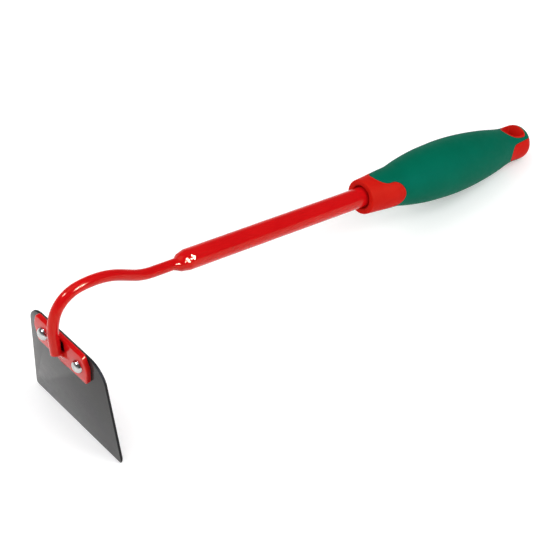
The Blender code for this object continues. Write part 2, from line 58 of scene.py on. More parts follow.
# --------------------------------------------------------------------------
# Camera, floor and light
# --------------------------------------------------------------------------
def set_stage():
    scene = bpy.context.scene
    scene.view_settings.view_transform = "Standard"
    scene.view_settings.look = "None"

    data = bpy.data.cameras.new("camera")
    data.sensor_fit = "HORIZONTAL"
    data.sensor_width = 36.0
    data.lens = 99.17
    data.clip_start = 0.02
    data.clip_end = 100.0
    camera = bpy.data.objects.new("camera", data)
    camera.location = (-0.55827, -0.59966, 0.78446)
    camera.rotation_euler = (math.radians(46.26), math.radians(0.094), math.radians(-41.113))
    scene.collection.objects.link(camera)
    scene.camera = camera

    world = bpy.data.worlds.new("studio")
    scene.world = world
    world.use_nodes = True
    nt = world.node_tree
    nt.nodes.clear()
    out = nt.nodes.new("ShaderNodeOutputWorld")
    back = nt.nodes.new("ShaderNodeBackground")
    coord = nt.nodes.new("ShaderNodeTexCoord")
    split = nt.nodes.new("ShaderNodeSeparateXYZ")
    nt.links.new(coord.outputs["Generated"], split.inputs[0])

    def ranged(socket, low, high, a, b):
        node = nt.nodes.new("ShaderNodeMapRange")
        node.interpolation_type = "SMOOTHSTEP"
        for key, value in (("From Min", low), ("From Max", high), ("To Min", a), ("To Max", b)):
            node.inputs[key].default_value = value
        nt.links.new(socket, node.inputs["Value"])
        return node.outputs["Result"]

    def joined(kind, a, b):
        node = nt.nodes.new("ShaderNodeMath")
        node.operation = kind
        nt.links.new(a, node.inputs[0])
        if isinstance(b, float):
            node.inputs[1].default_value = b
        else:
            nt.links.new(b, node.inputs[1])
        return node.outputs[0]

    # a pale band above the horizon behind the hoe, darker to the front and right
    across = joined("SUBTRACT", split.outputs["Y"], split.outputs["X"])
    band = joined("MULTIPLY", ranged(split.outputs["Z"], 0.02, 0.56, 1.0, 0.0), ranged(across, -0.35, 0.35, 0.0, 1.0))
    level = joined("ADD", joined("MULTIPLY", band, 0.82), 0.10)
    nt.links.new(level, back.inputs["Color"])
    back.inputs["Strength"].default_value = 1.0
    nt.links.new(back.outputs[0], out.inputs[0])

    def soft_light(name, azimuth, elevation, distance, width, height, radiance, shine=True, fill=True, tint=(1.0, 1.0, 1.0)):
        lamp = bpy.data.lights.new(name, "AREA")
        lamp.shape = "RECTANGLE"
        lamp.size, lamp.size_y = width, height
        lamp.energy = radiance * math.pi * width * height
        lamp.color = tint
        obj = bpy.data.objects.new(name, lamp)
        a, e = math.radians(azimuth), math.radians(elevation)
        way = Vector((math.cos(e) * math.cos(a), math.cos(e) * math.sin(a), math.sin(e)))
        obj.location = Vector((0.0, 0.0, 0.04)) + way * distance
        obj.rotation_euler = way.to_track_quat("Z", "Y").to_euler()
        obj.visible_glossy, obj.visible_diffuse = shine, fill
        scene.collection.objects.link(obj)

    sky = bpy.data.objects.new("light_sky", bpy.data.lights.new("light_sky", "SUN"))
    sky.data.energy, sky.data.angle = 0.95, math.radians(100.0)
    sky.rotation_euler = (math.radians(-12.0), 0.0, 0.0)
    sky.visible_glossy = False
    scene.collection.objects.link(sky)
    soft_light("light_key", 158, 48, 1.4, 0.7, 0.7, 2.6, shine=False)
    soft_light("light_left", -165, 50, 1.4, 1.0, 1.0, 0.8, shine=False)
    soft_light("light_front", -120, 50, 1.5, 1.2, 1.2, 0.9, shine=False)
    soft_light("light_right", -60, 45, 1.5, 1.0, 1.0, 3.8, shine=False)
    soft_light("light_back", 95, 50, 1.5, 1.0, 1.0, 1.2, shine=False)
    cool = (0.90, 0.97, 1.25)
    soft_light("shine_key", 160, 55, 1.3, 0.34, 0.16, 90.0, fill=False, tint=cool)
    soft_light("shine_side", -80, 34, 1.3, 0.48, 0.24, 150.0, fill=False, tint=cool)
    soft_light("shine_above", 135, 75, 1.5, 1.0, 1.0, 1.2, fill=False)

    mesh = bpy.data.meshes.new("floor")
    bm = bmesh.new()
    bmesh.ops.create_circle(bm, cap_ends=True, segments=96, radius=25.0)
    bm.to_mesh(mesh)
    bm.free()
    floor = bpy.data.objects.new("floor", mesh)
    floor.location = (0.0, 0.0, -0.00015)
    scene.collection.objects.link(floor)
    mat = bpy.data.materials.new("floor_white")
    mat.use_nodes = True
    shader = mat.node_tree.nodes["Principled BSDF"]
    shader.inputs["Base Color"].default_value = (0.90, 0.90, 0.90, 1.0)
    shader.inputs["Roughness"].default_value = 0.9
    shader.inputs["Specular IOR Level"].default_value = 0.0
    shader.inputs["Emission Color"].default_value = (1.0, 1.0, 1.0, 1.0)
    near = mat.node_tree.nodes.new("ShaderNodeTexCoord")
    away = mat.node_tree.nodes.new("ShaderNodeVectorMath")
    away.operation = "LENGTH"
    glow = mat.node_tree.nodes.new("ShaderNodeMapRange")
    glow.interpolation_type = "SMOOTHSTEP"
    for key, value in (("From Min", 0.8), ("From Max", 3.2), ("To Min", 0.22), ("To Max", 0.56)):
        glow.inputs[key].default_value = value
    mat.node_tree.links.new(near.outputs["Object"], away.inputs[0])
    mat.node_tree.links.new(away.outputs["Value"], glow.inputs["Value"])
    mat.node_tree.links.new(glow.outputs["Result"], shader.inputs["Emission Strength"])
    mesh.materials.append(mat)


# --------------------------------------------------------------------------
# Materials
# --------------------------------------------------------------------------
class Nodes:
    """Small helper that builds a node material."""

    def __init__(self, name):
        self.mat = bpy.data.materials.new(name)
        self.mat.use_nodes = True
        self.nt = self.mat.node_tree
        self.shader = self.nt.nodes["Principled BSDF"]
        self.coord = self.nt.nodes.new("ShaderNodeTexCoord")

    def link(self, a, b):
        self.nt.links.new(a, b)

    def mapped(self, scale=(1.0, 1.0, 1.0), turn=(0.0, 0.0, 0.0)):
        node = self.nt.nodes.new("ShaderNodeMapping")
        node.inputs["Scale"].default_value = scale
        node.inputs["Rotation"].default_value = turn
        self.link(self.coord.outputs["Object"], node.inputs["Vector"])
        return node.outputs["Vector"]

    def noise(self, size, detail=2.0, rough=0.5, vector=None, distortion=0.0):
        """Noise whose features are about size metres across."""
        node = self.nt.nodes.new("ShaderNodeTexNoise")
        node.inputs["Scale"].default_value = 1.0 / size
        node.inputs["Detail"].default_value = detail
        node.inputs["Roughness"].default_value = rough
        node.inputs["Distortion"].default_value = distortion
        self.link(vector or self.coord.outputs["Object"], node.inputs["Vector"])
        return node.outputs["Fac"]

    def spread(self, value, low, high, a, b):
        node = self.nt.nodes.new("ShaderNodeMapRange")
        node.interpolation_type = "SMOOTHSTEP"
        node.inputs["From Min"].default_value = low
        node.inputs["From Max"].default_value = high
        node.inputs["To Min"].default_value = a
        node.inputs["To Max"].default_value = b
        self.link(value, node.inputs["Value"])
        return node.outputs["Result"]

    def maths(self, kind, a, b):
        node = self.nt.nodes.new("ShaderNodeMath")
        node.operation = kind
        for k, v in enumerate((a, b)):
            if isinstance(v, (int, float)):
                node.inputs[k].default_value = v
            else:
                self.link(v, node.inputs[k])
        return node.outputs[0]

    def mix(self, factor, a, b):
        node = self.nt.nodes.new("ShaderNodeMix")
        node.data_type = "RGBA"
        self.link(factor, node.inputs["Factor"])
        node.inputs[6].default_value = (*a, 1.0) if isinstance(a, tuple) else (0, 0, 0, 1)
        node.inputs[7].default_value = (*b, 1.0) if isinstance(b, tuple) else (0, 0, 0, 1)
        if not isinstance(a, tuple):
            self.link(a, node.inputs[6])
        if not isinstance(b, tuple):
            self.link(b, node.inputs[7])
        return node.outputs[2]

    def colour(self, socket):
        self.link(socket, self.shader.inputs["Base Color"])

    def roughness(self, socket):
        self.link(socket, self.shader.inputs["Roughness"])

    def bump(self, parts):
        """Chain of bumps; parts are (height socket, depth in metres, strength)."""
        last = None
        for height, depth, strength in parts:
            node = self.nt.nodes.new("ShaderNodeBump")
            node.inputs["Distance"].default_value = depth
            node.inputs["Strength"].default_value = strength
            self.link(height, node.inputs["Height"])
            if last is not None:
                self.link(last, node.inputs["Normal"])
            last = node.outputs["Normal"]
        self.link(last, self.shader.inputs["Normal"])

    def fixed(self, **values):
        for key, value in values.items():
            self.shader.inputs[key.replace("_", " ")].default_value = value


def red_paint():
    """Glossy red powder paint with a faint orange peel, and painted shade in the crevice between rod and plate."""
    n = Nodes("red_gloss_paint")
    wide = n.noise(0.030, 3.0)
    tone = n.mix(n.spread(wide, 0.3, 0.7, 0.0, 1.0), (0.520, 0.0032, 0.0050), (0.555, 0.0046, 0.0060))
    # painted shade: a near-black patch in the narrow crevice between rod and plate, above the weld, stands in for the
    # crevice's shadow
    at = n.nt.nodes.new("ShaderNodeSeparateXYZ")
    n.link(n.coord.outputs["Object"], at.inputs[0])
    off = n.maths("ADD", n.maths("ABSOLUTE", at.outputs["Y"], 0.0), n.maths("MULTIPLY", n.noise(0.0012, 2.0), 0.0008))
    painted_crevice_shade = n.maths("MULTIPLY", n.spread(off, 0.0034, 0.0052, 1.0, 0.0), n.spread(at.outputs["X"], -0.2216, -0.2202, 0.0, 1.0))
    painted_crevice_shade = n.maths("MULTIPLY", painted_crevice_shade, n.spread(at.outputs["Z"], 0.0738, 0.0754, 0.0, 0.96))
    painted_crevice_shade = n.maths("MULTIPLY", painted_crevice_shade, n.spread(at.outputs["Z"], 0.0834, 0.0848, 1.0, 0.0))
    painted_crevice_shade = n.maths("MULTIPLY", painted_crevice_shade, n.spread(at.outputs["X"], -0.2130, -0.2110, 1.0, 0.0))
    # the paint colour is mixed towards near-black inside this mask: painted shade
    n.colour(n.mix(painted_crevice_shade, tone, (0.0060, 0.0012, 0.0012)))
    haze = n.noise(0.009, 4.0, 0.6)
    n.roughness(n.spread(haze, 0.25, 0.75, 0.05, 0.09))
    peel = n.noise(0.0016, 2.0, 0.5)
    fine = n.noise(0.00045, 2.0, 0.5)
    n.bump(((peel, 0.00003, 0.16), (fine, 0.000006, 0.25)))
    n.fixed(IOR=1.5, Specular_IOR_Level=0.22, Specular_Tint=(1.0, 0.86, 0.48, 1.0), Metallic=0.0)
    return n.mat


def blade_coating():
    """Satin black-grey coating on sheet steel."""
    n = Nodes("blade_satin_coating")
    wide = n.noise(0.022, 3.0, 0.55)
    drift = n.noise(0.060, 2.0)
    tone = n.mix(n.spread(wide, 0.3, 0.7, 0.0, 1.0), (0.0192, 0.0184, 0.0186), (0.0236, 0.0217, 0.0208))
    tone = n.mix(n.spread(drift, 0.35, 0.65, 0.0, 0.6), tone, (0.0165, 0.0180, 0.0172))
    n.colour(tone)
    rolled = n.noise(0.0016, 3.0, 0.6, n.mapped((1.0, 0.08, 1.0)))
    haze = n.noise(0.006, 3.0, 0.6)
    rough = n.maths("ADD", n.spread(haze, 0.25, 0.75, 0.17, 0.22), n.maths("MULTIPLY", rolled, 0.03))
    n.roughness(rough)
    grain = n.noise(0.00038, 2.0, 0.6)
    n.bump(((grain, 0.00002, 0.35), (rolled, 0.00001, 0.25)))
    n.fixed(IOR=1.5, Specular_IOR_Level=0.20, Metallic=0.0)
    return n.mat


def edge_finish_and_shade():
    """The blade's cut edges: duller than its faces, with a darker base colour that is painted shade."""
    n = Nodes("blade_edge_finish_and_shade")
    # darker base colour on the edge faces: painted shade for the dark line along the blade's edges
    n.colour(n.mix(n.noise(0.0012, 3.0, 0.6), (0.0040, 0.0036, 0.0035), (0.0090, 0.0080, 0.0076)))
    n.roughness(n.spread(n.noise(0.002, 2.0), 0.3, 0.7, 0.55, 0.70))
    n.bump(((n.noise(0.0004, 2.0, 0.6, n.mapped((0.2, 1.0, 1.0))), 0.00003, 0.4),))
    n.fixed(IOR=1.5, Specular_IOR_Level=0.12)
    return n.mat


def rivet_steel():
    """Bright set steel with faint turning marks."""
    n = Nodes("rivet_bright_steel")
    blot = n.noise(0.0016, 3.0, 0.6)
    n.colour(n.mix(n.spread(blot, 0.3, 0.7, 0.0, 1.0), (0.44, 0.44, 0.43), (0.56, 0.56, 0.55)))
    n.roughness(n.spread(n.noise(0.0007, 3.0, 0.6), 0.3, 0.7, 0.10, 0.20))
    n.bump(((n.noise(0.0005, 2.0, 0.5), 0.000006, 0.4), (n.noise(0.0022, 1.0), 0.00004, 0.25)))
    n.fixed(Metallic=1.0)
    return n.mat


def red_plastic():
    """Moulded red plastic, finely sparked, half gloss."""
    n = Nodes("red_moulded_plastic")
    wide = n.noise(0.018, 3.0)
    n.colour(n.mix(n.spread(wide, 0.3, 0.7, 0.0, 1.0), (0.510, 0.0065, 0.0040), (0.545, 0.0085, 0.0052)))
    n.roughness(n.spread(n.noise(0.005, 3.0, 0.6), 0.25, 0.75, 0.50, 0.60))
    spark = n.noise(0.00032, 2.0, 0.6)
    n.bump(((spark, 0.000012, 0.4), (n.noise(0.006, 2.0), 0.00006, 0.12)))
    n.fixed(IOR=1.49, Specular_IOR_Level=0.04, Specular_Tint=(1.0, 0.85, 0.36, 1.0))
    return n.mat


def green_rubber():
    """Soft thermoplastic rubber: matt, fine grained, with faint lighter specks."""
    n = Nodes("green_soft_rubber")
    wide = n.noise(0.026, 3.0, 0.55)
    tone = n.mix(n.spread(wide, 0.3, 0.7, 0.0, 1.0), (0.0000, 0.1030, 0.0580), (0.0000, 0.1120, 0.0640))
    speck = n.noise(0.0009, 3.0, 0.6)
    n.colour(n.mix(n.spread(speck, 0.55, 0.80, 0.0, 0.5), tone, (0.0008, 0.1240, 0.0760)))
    n.roughness(n.spread(n.noise(0.004, 3.0, 0.6), 0.25, 0.75, 0.62, 0.72))
    grain = n.noise(0.00042, 3.0, 0.6)
    n.bump(((grain, 0.00003, 0.5), (n.noise(0.007, 2.0), 0.00008, 0.12)))
    n.fixed(IOR=1.5, Specular_IOR_Level=0.09, Specular_Tint=(0.05, 1.0, 0.75, 1.0))
    return n.mat


# --------------------------------------------------------------------------
# Mesh helpers
# --------------------------------------------------------------------------
def place(name, verts, faces, matrix, mat, node, sharp=42.0):
    """Makes a piece from points in millimetres in a local frame."""
    pts = np.asarray(verts, float) * MM
    m = np.array(matrix)
    pts = pts @ m[:3, :3].T + m[:3, 3]
    mesh = bpy.data.meshes.new(name)
    mesh.from_pydata(pts.tolist(), [], faces)
    bm = bmesh.new()
    bm.from_mesh(mesh)
    bmesh.ops.recalc_face_normals(bm, faces=bm.faces)
    bm.to_mesh(mesh)
    bm.free()
    mesh.shade_smooth()
    mesh.set_sharp_from_angle(angle=math.radians(sharp))
    mesh.materials.append(mat)
    obj = bpy.data.objects.new(name, mesh)
    bpy.context.scene.collection.objects.link(obj)
    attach(obj, "root")
    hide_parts(node)
    return obj


def spaced(a, b, step):
    n = max(1, math.ceil((b - a) / step - 1e-9))
    return [a + (b - a) * i / n for i in range(n)]


def turned(profile, columns, wobble=None):
    """Points and faces of a body turned about X from (x, radius) pairs."""
    verts, faces, rows = [], [], []
    for x, r in profile:
        if r < 1e-6:
            rows.append([len(verts)])
            verts.append((x, 0.0, 0.0))
        else:
            row = []
            for j in range(columns):
                a = 2 * math.pi * j / columns
                dx, dr = wobble(x, r, a) if wobble else (0.0, 0.0)
                row.append(len(verts))
                verts.append((x + dx, (r + dr) * math.sin(a), (r + dr) * math.cos(a)))
            rows.append(row)
    closed = len(rows[0]) > 1 and len(rows[-1]) > 1
    pairs = list(zip(rows, rows[1:])) + ([(rows[-1], rows[0])] if closed else [])
    for a, b in pairs:
        for j in range(columns):
            k = (j + 1) % columns
            if len(a) == 1:
                faces.append((a[0], b[j], b[k]))
            elif len(b) == 1:
                faces.append((a[j], b[0], a[k]))
            else:
                faces.append((a[j], b[j], b[k], a[k]))
    return verts, faces


def arc(cx, cr, radius, a0, a1, steps):
    """Points (x, r) on an arc, angles in degrees from +x towards +r."""
    return [(cx + radius * math.cos(math.radians(a0 + (a1 - a0) * i / steps)),
             cr + radius * math.sin(math.radians(a0 + (a1 - a0) * i / steps)))
            for i in range(steps + 1)]


def rounded(corners):
    """Outline and normals through corners (y, z, radius, steps), in order."""
    points, normals = [], []
    n = len(corners)
    for i in range(n):
        y, z, r, steps = corners[i]
        ay, az = corners[i - 1][:2]
        by, bz = corners[(i + 1) % n][:2]
        la, lb = math.hypot(ay - y, az - z), math.hypot(by - y, bz - z)
        ua, ub = ((ay - y) / la, (az - z) / la), ((by - y) / lb, (bz - z) / lb)
        half = math.acos(ua[0] * ub[0] + ua[1] * ub[1]) / 2
        reach = r / math.tan(half)
        mid = (ua[0] + ub[0], ua[1] + ub[1])
        lm = math.hypot(*mid)
        cy = y + mid[0] / lm * r / math.sin(half)
        cz = z + mid[1] / lm * r / math.sin(half)
        a0 = math.atan2(z + ua[1] * reach - cz, y + ua[0] * reach - cy)
        a1 = math.atan2(z + ub[1] * reach - cz, y + ub[0] * reach - cy)
        turn = (a1 - a0 + math.pi) % (2 * math.pi) - math.pi
        for s in range(steps + 1):
            a = a0 + turn * s / steps
            points.append((cy + r * math.cos(a), cz + r * math.sin(a)))
            normals.append((math.cos(a), math.sin(a)))
    return np.array(points), np.array(normals)


def slab(points, normals, levels):
    """Slab with rounded edges: levels are (x, inset) from one face to the other."""
    verts, faces, rows = [], [], []
    for x, inset in levels:
        row = []
        for (y, z), (ny, nz) in zip(points, normals):
            row.append(len(verts))
            verts.append((x, y - inset * ny, z - inset * nz))
        rows.append(row)
    n = len(points)
    for a, b in zip(rows, rows[1:]):
        for j in range(n):
            k = (j + 1) % n
            faces.append((a[j], a[k], b[k], b[j]))
    faces.append(tuple(rows[0][::-1]))
    faces.append(tuple(rows[-1]))
    return verts, faces


def edge_levels(x0, x1, radius, steps=4):
    """Levels of a slab from x0 to x1 with both edges rounded."""
    levels = []
    for i in range(steps + 1):
        a = math.pi / 2 * i / steps
        levels.append((x0 + radius * (1 - math.cos(a)), radius * (1 - math.sin(a))))
    for i in range(steps + 1):
        a = math.pi / 2 * i / steps
        levels.append((x1 - radius * (1 - math.sin(a)), radius * (1 - math.cos(a))))
    return levels


def drill(obj, cutters):
    """Cuts closed bodies, given as (verts, faces, matrix), out of an object."""
    made = []
    for k, (verts, faces, matrix) in enumerate(cutters):
        pts = np.asarray(verts, float) * MM
        m = np.array(matrix)
        pts = pts @ m[:3, :3].T + m[:3, 3]
        mesh = bpy.data.meshes.new("cut")
        mesh.from_pydata(pts.tolist(), [], faces)
        bm = bmesh.new()
        bm.from_mesh(mesh)
        bmesh.ops.recalc_face_normals(bm, faces=bm.faces)
        bm.to_mesh(mesh)
        bm.free()
        tool = bpy.data.objects.new("cut", mesh)
        bpy.context.scene.collection.objects.link(tool)
        mod = obj.modifiers.new("cut", "BOOLEAN")
        mod.operation = "DIFFERENCE"
        mod.solver = "EXACT"
        mod.object = tool
        made.append(tool)
    bpy.context.view_layer.update()
    dg = bpy.context.evaluated_depsgraph_get()
    new = bpy.data.meshes.new_from_object(obj.evaluated_get(dg))
    obj.modifiers.clear()
    old = obj.data
    obj.data = new
    bpy.data.meshes.remove(old)
    for tool in made:
        mesh = tool.data
        bpy.data.objects.remove(tool)
        bpy.data.meshes.remove(mesh)
    return obj


def surface_nets(field, low, high, step):
    """Closed surface where field changes sign, as points and quads."""
    axes = [np.arange(a, b + step * 0.5, step) for a, b in zip(low, high)]
    gx, gy, gz = np.meshgrid(*axes, indexing="ij")
    values = field(gx, gy, gz)
    inside = values < 0
    shape = tuple(n - 1 for n in values.shape)
    corners = [(i, j, k) for i in (0, 1) for j in (0, 1) for k in (0, 1)]

    def part(array, c):
        return array[c[0]:c[0] + shape[0], c[1]:c[1] + shape[1], c[2]:c[2] + shape[2]]

    count = sum(part(inside, c).astype(int) for c in corners)
    mask = (count > 0) & (count < 8)
    index = -np.ones(shape, int)
    index[mask] = np.arange(mask.sum())
    total = np.zeros((mask.sum(), 3))
    hits = np.zeros(mask.sum())
    coords = (gx, gy, gz)
    for c in corners:
        for axis in range(3):
            if c[axis] == 1:
                continue
            d = list(c)
            d[axis] = 1
            va, vb = part(values, c)[mask], part(values, d)[mask]
            cross = (va < 0) != (vb < 0)
            t = np.where(cross, va / np.where(cross, va - vb, 1.0), 0.0)
            for m in range(3):
                pa, pb = part(coords[m], c)[mask], part(coords[m], d)[mask]
                total[:, m] += np.where(cross, pa + t * (pb - pa), 0.0)
            hits += cross
    points = total / hits[:, None]
    faces = []
    for axis in range(3):
        u, v = (axis + 1) % 3, (axis + 2) % 3
        size = [n for n in values.shape]
        base = [slice(None)] * 3
        base[axis] = slice(0, size[axis] - 1)
        base[u] = slice(1, size[u] - 1)
        base[v] = slice(1, size[v] - 1)
        ahead = list(base)
        ahead[axis] = slice(1, size[axis])
        change = inside[tuple(base)] != inside[tuple(ahead)]
        where = np.argwhere(change)
        off = np.zeros(3, int)
        off[u] = off[v] = 1
        where = where + off
        quads = []
        for du, dv in ((-1, -1), (0, -1), (0, 0), (-1, 0)):
            cell = where.copy()
            cell[:, u] += du
            cell[:, v] += dv
            quads.append(index[cell[:, 0], cell[:, 1], cell[:, 2]])
        faces.append(np.stack(quads, 1))
    faces = np.concatenate(faces)
    faces = faces[(faces >= 0).all(1)]
    for _ in range(3):                                  # settle on the surface
        eps = 0.02
        f0 = field(*points.T)
        grad = np.stack([(field(*(points + eps * np.eye(3)[m]).T) - f0) / eps for m in range(3)], 1)
        size = np.maximum((grad ** 2).sum(1), 0.2)
        shift = -(f0 / size)[:, None] * grad
        points = points + np.clip(shift, -0.5 * step, 0.5 * step)
    return points, [tuple(int(i) for i in f) for f in faces]


def smoothstep(a, b, x):
    t = np.clip((x - a) / (b - a), 0.0, 1.0)
    return t * t * (3 - 2 * t)


# --------------------------------------------------------------------------
# The handle's outer form
# --------------------------------------------------------------------------
STATIONS = (
    (0.0, 13.10), (9.4, 13.75), (21.4, 14.80), (28.5, 15.25), (34.5, 15.65),
    (40.0, 16.95), (46.0, 18.10), (53.0, 19.20), (65.0, 20.70), (78.0, 21.50),
    (91.0, 21.95), (104.0, 21.70), (117.0, 20.80), (131.0, 19.30),
    (144.0, 17.40), (157.0, 14.95), (165.0, 14.00), (172.0, 14.10), (176.3, 14.00),
)


def radius_table():
    """Radius of the handle without its rounded end, lightly smoothed."""
    s = np.arange(-20.0, 220.0, 0.25)
    x = np.array([p[0] for p in STATIONS])
    r = np.array([p[1] for p in STATIONS])
    m = np.zeros(len(x))
    m[0] = (r[1] - r[0]) / (x[1] - x[0])
    m[1:-1] = (r[2:] - r[:-2]) / (x[2:] - x[:-2])
    i = np.clip(np.searchsorted(x, s, side="right") - 1, 0, len(x) - 2)
    h = x[i + 1] - x[i]
    t = np.clip((s - x[i]) / h, 0.0, 1.0)
    value = (r[i] * (2 * t ** 3 - 3 * t ** 2 + 1) + h * m[i] * (t ** 3 - 2 * t ** 2 + t)
             + r[i + 1] * (3 * t ** 2 - 2 * t ** 3) + h * m[i + 1] * (t ** 3 - t ** 2))
    value = np.where(s < 0, r[0] + m[0] * s, value)
    kernel = np.exp(-0.5 * (np.arange(-40, 41) * 0.25 / 2.6) ** 2)
    kernel /= kernel.sum()
    soft = np.convolve(np.pad(value, 40, mode="edge"), kernel, mode="valid")
    return s + COLLAR, soft


TABLE_S, TABLE_R = radius_table()


def handle_radius(s):
    s = np.asarray(s, float)
    u = np.clip((s - TAIL_DOME) / (HANDLE_END - TAIL_DOME), 0.0, 1.0)
    return np.interp(s, TABLE_S, TABLE_R) * np.sqrt(1.0 - u * u)


def front_limit(angle):
    angle -= math.radians(5.0)                    # moulded slightly turned on the shaft
    r = 14.72
    y, w = abs(r * math.sin(angle)), abs(r * math.cos(angle))
    if w >= 10.94:
        y = min(y, 9.85)
        return 185.0 - 10.4 * math.sqrt(1.0 - (y / 9.85) ** 2)
    return 186.8 + math.sqrt(10.94 ** 2 - w ** 2)


def rear_limit(angle):
    w = abs(13.9 * math.cos(angle))
    if w < 7.8:
        return 329.5 - math.sqrt(7.8 ** 2 - w ** 2)
    return 329.5 + 16.7 * min(1.0, (w - 7.8) / 1.2)


def ring_curve(limit, radius, sigma):
    """Closed boundary round the handle as even points (s, angle), smoothed."""
    a = np.linspace(-math.pi, math.pi, 7201)[:-1]
    s = np.array([limit(v) for v in a])
    s = np.append(s, s[0])
    a = np.append(a, math.pi)
    run = np.concatenate([[0.0], np.cumsum(np.hypot(np.diff(s), radius * np.diff(a)))])
    n = int(run[-1] / 0.2)
    t = np.linspace(0.0, run[-1], n, endpoint=False)
    s, a = np.interp(t, run, s), np.interp(t, run, a)
    drift = a - (-math.pi + 2 * math.pi * np.arange(n) / n)
    reach = int(4 * sigma / 0.2) + 1
    kernel = np.exp(-0.5 * (np.arange(-reach, reach + 1) * 0.2 / sigma) ** 2)
    kernel /= kernel.sum()
    s = np.convolve(np.pad(s, reach, mode="wrap"), kernel, mode="valid")
    drift = np.convolve(np.pad(drift, reach, mode="wrap"), kernel, mode="valid")
    return s, drift - math.pi + 2 * math.pi * np.arange(n) / n


def eye_outline(grow, steps=90):
    """Outline of the hanging eye, as (s, y): round in front, squarer behind."""
    half = 9.2 + grow
    tip, rear = 322.0 - grow, 342.6 + grow
    points = []
    for i in range(steps + 1):
        a = math.pi / 2 * i / steps
        points.append((338.3 - (338.3 - tip) * math.cos(a), half * math.sin(a)))
    for i in range(1, steps):
        a = math.pi / 2 * i / steps
        points.append((338.3 + (rear - 338.3) * math.sin(a) ** 0.8, half * math.cos(a) ** 0.8))
    points.append((rear, 0.0))
    lower = [(s, -y) for s, y in points[1:-1]]
    return np.array(points + lower[::-1])


def window_curve(outline, top):
    s, y = outline[:, 0], outline[:, 1]
    a = np.arcsin(np.clip(y / handle_radius(s), -1, 1))
    return s, (a if top else math.pi - a)


def side_distance(s, a, curve, sign):
    """Signed distance from nodes (s, a) to a closed curve, and its foot."""
    cs, ca = curve
    ds = np.roll(cs, -1) - cs
    da = (np.roll(ca, -1) - ca + math.pi) % (2 * math.pi) - math.pi
    flat_s, flat_a = s.ravel(), a.ravel()
    r = handle_radius(np.minimum(flat_s, 347.0))
    dist = np.empty(len(flat_s))
    foot_s, foot_a = np.empty(len(flat_s)), np.empty(len(flat_s))
    for lo in range(0, len(flat_s), 1500):
        k = slice(lo, lo + 1500)
        rr = r[k][:, None]
        vs = flat_s[k][:, None] - cs[None]
        va = ((flat_a[k][:, None] - ca[None] + math.pi) % (2 * math.pi) - math.pi) * rr
        es, ea = ds[None], da[None] * rr
        t = np.clip((vs * es + va * ea) / np.maximum(es ** 2 + ea ** 2, 1e-12), 0.0, 1.0)
        ps, pa = vs - t * es, va - t * ea
        d2 = ps ** 2 + pa ** 2
        b = d2.argmin(1)
        row = np.arange(len(b))
        cross = es[0][b] * pa[row, b] - ea[row, b] * ps[row, b]
        dist[k] = np.sqrt(d2[row, b]) * np.where(cross >= 0, 1.0, -1.0) * sign
        foot_s[k] = cs[b] + t[row, b] * ds[b]
        foot_a[k] = ca[b] + t[row, b] * da[b]
    return dist.reshape(s.shape), foot_s.reshape(s.shape), foot_a.reshape(s.shape)


def snap(s, a, phi, foot_s, foot_a, frozen):
    """Moves, for each grid edge that crosses the curve, its nearer node onto it."""
    plus = phi > 0
    mark = np.zeros(phi.shape, bool)
    rows, cols = phi.shape
    near = np.abs(phi)
    right = np.roll(np.arange(cols), -1)
    cross = plus != plus[:, right]
    first = near <= near[:, right]
    mark |= cross & first
    pick = cross & ~first
    mark[:, right] |= pick
    cross = plus[:-1] != plus[1:]
    first = near[:-1] <= near[1:]
    mark[:-1] |= cross & first
    mark[1:] |= cross & ~first
    mark &= ~frozen
    s[mark], a[mark] = foot_s[mark], foot_a[mark]
    phi[mark] = 0.0
    return mark


def split_by(faces, phi):
    """Splits faces by the sign of phi at their nodes into two lists."""
    plus, minus = [], []
    for f in faces:
        v = [phi[i] for i in f]
        hi, lo = max(v), min(v)
        if hi > 0 and lo < 0:
            if len(f) == 4 and v[0] == 0 and v[2] == 0:
                halves = ((f[0], f[1], f[2]), (f[0], f[2], f[3]))
            elif len(f) == 4 and v[1] == 0 and v[3] == 0:
                halves = ((f[0], f[1], f[3]), (f[1], f[2], f[3]))
            else:
                (plus if hi > -lo else minus).append(f)
                continue
            for h in halves:
                w = [phi[i] for i in h]
                (plus if max(w) > 0 else minus).append(h)
        elif hi > 0:
            plus.append(f)
        else:
            minus.append(f)
    return plus, minus


def shoulder(d, radius):
    """Drop of a rounded edge at distance d from it."""
    d = np.clip(d, 0.0, radius)
    return radius - np.sqrt(np.maximum(radius ** 2 - (radius - d) ** 2, 0.0))


def zipper(loop, loop_t, ring, ring_t):
    """Triangles between two closed loops that are sorted by parameters 0..1."""
    faces, i, j = [], 0, 0
    n, m = len(loop), len(ring)
    while i < n or j < m:
        ti = loop_t[i + 1] if i + 1 < n else (1.0 + loop_t[0] if i < n else 9.0)
        tj = ring_t[j + 1] if j + 1 < m else (1.0 + ring_t[0] if j < m else 9.0)
        if (ti <= tj and i < n) or j >= m:
            faces.append((loop[i % n], ring[j % m], loop[(i + 1) % n]))
            i += 1
        else:
            faces.append((loop[i % n], ring[j % m], ring[(j + 1) % m]))
            j += 1
    return faces


